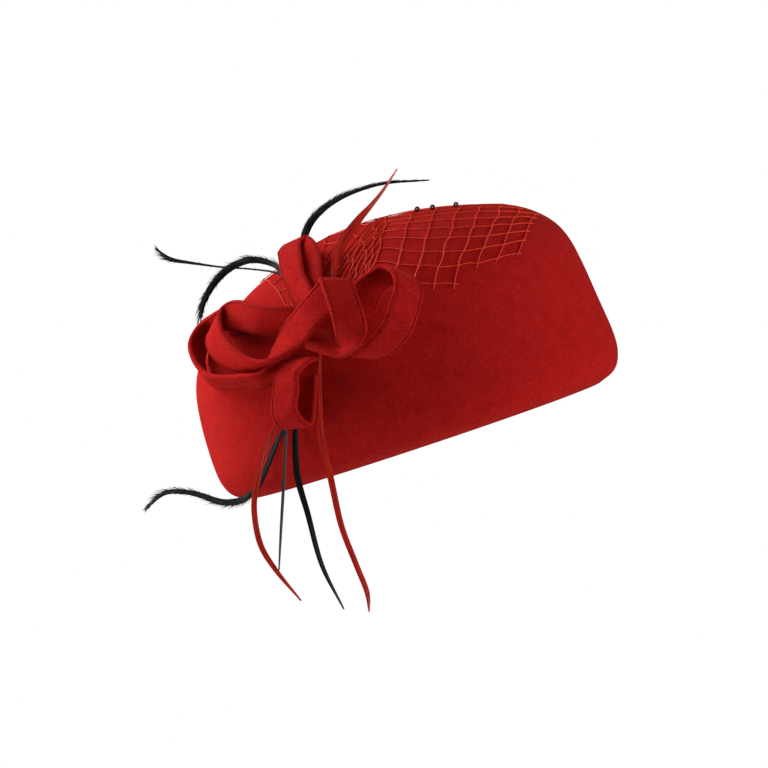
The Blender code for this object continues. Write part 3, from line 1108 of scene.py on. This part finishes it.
class HAT_OT_feathers(bpy.types.Operator):
    """Makes the barbed feathers: shaft, and barbs swept back along it"""

    bl_idname = "hat.feathers"
    bl_label = "Feathers"

    def execute(self, context):
        feather = context.scene.hat_feather
        material = keratin_material(
            "dyed_feather_black", feather.black, "030506", 0.5, (400.0, 3.0, 1.0),
        )
        for index, (name, rows) in enumerate(FEATHERS.items()):
            draws = np.random.default_rng(40 + index)
            centres, sides = blade_rings(rows, 14)
            thick = 0.3 * MM
            section = (
                (0.42, 0.0), (0.16, 0.6 * thick), (0.0, 1.6 * thick), (-0.16, 0.6 * thick),
                (-0.42, 0.0), (-0.16, -0.6 * thick), (0.0, -1.2 * thick), (0.16, -0.6 * thick),
            )
            shaft = swept(name + "_shaft", centres, sides, section)
            settle(shaft, material, name)
            barbs = self.barbs(name, centres, sides, feather.barb_pitch, FLUFF[name], draws)
            settle(barbs, material, None)
        return {"FINISHED"}

    def barbs(self, name, centres, sides, pitch, fluff, draws):
        """Barbs on both sides, tapering blades that lie along the shaft but for the fluffy ones."""
        deselect()
        bpy.ops.mesh.primitive_cone_add(
            vertices=3, radius1=0.5, radius2=0.05, depth=1.0, location=(0, 0, 0.5),
        )
        stamp = bpy.context.active_object
        make_active(stamp)
        bpy.ops.object.transform_apply(location=True, rotation=True, scale=True)
        runs = np.gradient(centres, axis=0)
        lengths = np.concatenate([[0], np.cumsum(np.linalg.norm(np.diff(centres, axis=0), axis=1))])
        places = []
        for edge in (-1, 1):
            for run in np.arange(0, lengths[-1] - 2 * MM, pitch):
                step = np.interp(run + draws.uniform(0, pitch), lengths, np.arange(len(lengths)))
                low = min(int(step), len(centres) - 2)
                share = step - low
                origin = centres[low] + share * (centres[low + 1] - centres[low])
                side = sides[low] + share * (sides[low + 1] - sides[low])
                ahead = unit(runs[low])
                outward = unit(np.cross(ahead, side))
                loose = draws.random() < fluff
                spread = math.radians(draws.uniform(18, 38) if loose else draws.uniform(6, 11))
                reach = np.linalg.norm(side) * 0.5 / math.sin(spread) * draws.uniform(0.8, 1.1)
                reach = min(1.5 * reach if loose else reach, 9 * MM)
                way = math.cos(spread) * ahead + edge * math.sin(spread) * unit(side)
                way = unit(way + draws.uniform(-0.08, 0.08) * outward)
                flat = unit(np.cross(outward, way))
                axes = np.column_stack((
                    flat * 0.5 * MM, outward * 0.12 * MM, way * reach,
                ))
                places.append((origin, axes))
        return joined_copies(name + "_barbs", stamp, places)


class HAT_OT_stage(bpy.types.Operator):
    """Sets out the floor, the backdrop, the lamps and the camera"""

    bl_idname = "hat.stage"
    bl_label = "Stage"

    def execute(self, context):
        stage = context.scene.hat_stage
        self.floor(stage)
        self.world(context.scene)
        middle = Vector((0.0, 0.0, 0.05))
        for name, place, size, power in (
            ("left_softbox", (-1.0, -0.10, 0.05), (0.5, 0.7), stage.left_power),
            ("right_front_softbox", (0.72, -0.55, -0.26), (0.5, 0.4), 1.2 * stage.right_power),
            ("right_softbox", (0.95, -0.15, -0.28), (0.5, 0.4), 0.9 * stage.right_power),
            ("top_back_softbox", (-0.60, 0.20, 0.90), (0.8, 0.8), stage.top_power),
            ("top_front_softbox", (-0.20, -0.50, 1.00), (1.0, 0.8), 0.2 * stage.top_power),
        ):
            self.lamp(name, place, middle, size, power)
        self.camera(context.scene)
        return {"FINISHED"}

    def floor(self, stage):
        deselect()
        bpy.ops.mesh.primitive_grid_add(
            x_subdivisions=24, y_subdivisions=24, size=24.0, location=(0, 0, -stage.floor_drop),
        )
        floor = bpy.context.active_object
        floor.name = "floor"
        material, tree = new_material("white_paper_floor")
        seen = add_node(tree, "ShaderNodeLightPath").outputs["Is Camera Ray"]
        matt = add_node(tree, "ShaderNodeBsdfDiffuse", {"Color": linear("B0B0B0")})
        glow = add_node(
            tree, "ShaderNodeEmission", {"Color": linear("FFFFFF"), "Strength": 1.0},
        )
        mixed = add_node(
            tree, "ShaderNodeMixShader",
            {0: seen, 1: matt.outputs["BSDF"], 2: glow.outputs["Emission"]},
        )
        add_node(tree, "ShaderNodeOutputMaterial", {"Surface": mixed.outputs["Shader"]})
        floor.data.materials.append(material)

    def world(self, scene):
        world = bpy.data.worlds.new("white_studio")
        world.use_nodes = True
        tree = world.node_tree
        tree.nodes.clear()
        seen = add_node(tree, "ShaderNodeLightPath").outputs["Is Camera Ray"]
        dim = add_node(
            tree, "ShaderNodeBackground", {"Color": linear("FFFFFF"), "Strength": 0.03},
        )
        white = add_node(
            tree, "ShaderNodeBackground", {"Color": linear("FFFFFF"), "Strength": 1.0},
        )
        mixed = add_node(
            tree, "ShaderNodeMixShader",
            {0: seen, 1: dim.outputs["Background"], 2: white.outputs["Background"]},
        )
        add_node(tree, "ShaderNodeOutputWorld", {"Surface": mixed.outputs["Shader"]})
        scene.world = world
        scene.view_settings.view_transform = "Standard"

    def lamp(self, name, place, middle, size, power):
        data = bpy.data.lights.new(name, "AREA")
        data.shape = "RECTANGLE"
        data.size = size[0]
        data.size_y = size[1]
        data.energy = power
        lamp = bpy.data.objects.new(name, data)
        bpy.context.scene.collection.objects.link(lamp)
        lamp.location = place
        lamp.rotation_euler = (middle - Vector(place)).to_track_quat("-Z", "Y").to_euler()

    def camera(self, scene):
        roll = math.radians(CAMERA_ROLL)
        rise = math.radians(CAMERA_ELEVATION)
        ahead = Vector((0, math.cos(rise), -math.sin(rise)))
        level_up = Vector((0, math.sin(rise), math.cos(rise)))
        level_right = Vector((1, 0, 0))
        right = math.cos(roll) * level_right - math.sin(roll) * level_up
        up = math.sin(roll) * level_right + math.cos(roll) * level_up
        data = bpy.data.cameras.new("camera")
        data.lens = CAMERA_LENS
        data.sensor_width = CAMERA_SENSOR
        camera = bpy.data.objects.new("camera", data)
        scene.collection.objects.link(camera)
        turned = camera.matrix_world.copy()
        for axis, vector in enumerate((right, up, -ahead)):
            for part in range(3):
                turned[part][axis] = vector[part]
        camera.matrix_world = turned
        camera.location = Vector(CAMERA_TARGET) - ahead * CAMERA_DISTANCE
        scene.camera = camera


class HAT_PT_panel(bpy.types.Panel):
    """Lists the hat's operators and their settings"""

    bl_idname = "HAT_PT_panel"
    bl_label = "Felt hat"
    bl_space_type = "VIEW_3D"
    bl_region_type = "UI"
    bl_category = "Hat"

    def draw(self, context):
        for group, operators in PANEL_ROWS:
            box = self.layout.box()
            settings = getattr(context.scene, group)
            for name in settings.__annotations__:
                box.prop(settings, name)
            for operator in operators:
                box.operator(operator)


PANEL_ROWS = (
    ("hat_felt", ("hat.crown",)),
    ("hat_bow", ("hat.bow",)),
    ("hat_net", ("hat.net", "hat.beads")),
    ("hat_feather", ("hat.feathers", "hat.quills")),
    ("hat_stage", ("hat.stage",)),
)

SETTINGS = {
    "hat_felt": HatFeltSettings,
    "hat_bow": HatBowSettings,
    "hat_net": HatNetSettings,
    "hat_feather": HatFeatherSettings,
    "hat_stage": HatStageSettings,
}

OPERATORS = (
    HAT_OT_crown,
    HAT_OT_bow,
    HAT_OT_net,
    HAT_OT_beads,
    HAT_OT_feathers,
    HAT_OT_quills,
    HAT_OT_stage,
)


def register():
    for name, group in SETTINGS.items():
        bpy.utils.register_class(group)
        setattr(bpy.types.Scene, name, bpy.props.PointerProperty(type=group))
    for thing in (*OPERATORS, HAT_PT_panel):
        bpy.utils.register_class(thing)


def unregister():
    for thing in (HAT_PT_panel, *reversed(OPERATORS)):
        bpy.utils.unregister_class(thing)
    for name, group in SETTINGS.items():
        delattr(bpy.types.Scene, name)
        bpy.utils.unregister_class(group)


def main():
    register()
    bpy.ops.hat.crown()
    bpy.ops.hat.bow()
    bpy.ops.hat.net()
    bpy.ops.hat.beads()
    bpy.ops.hat.feathers()
    bpy.ops.hat.quills()
    bpy.ops.hat.stage()


if __name__ == "__main__":
    main()
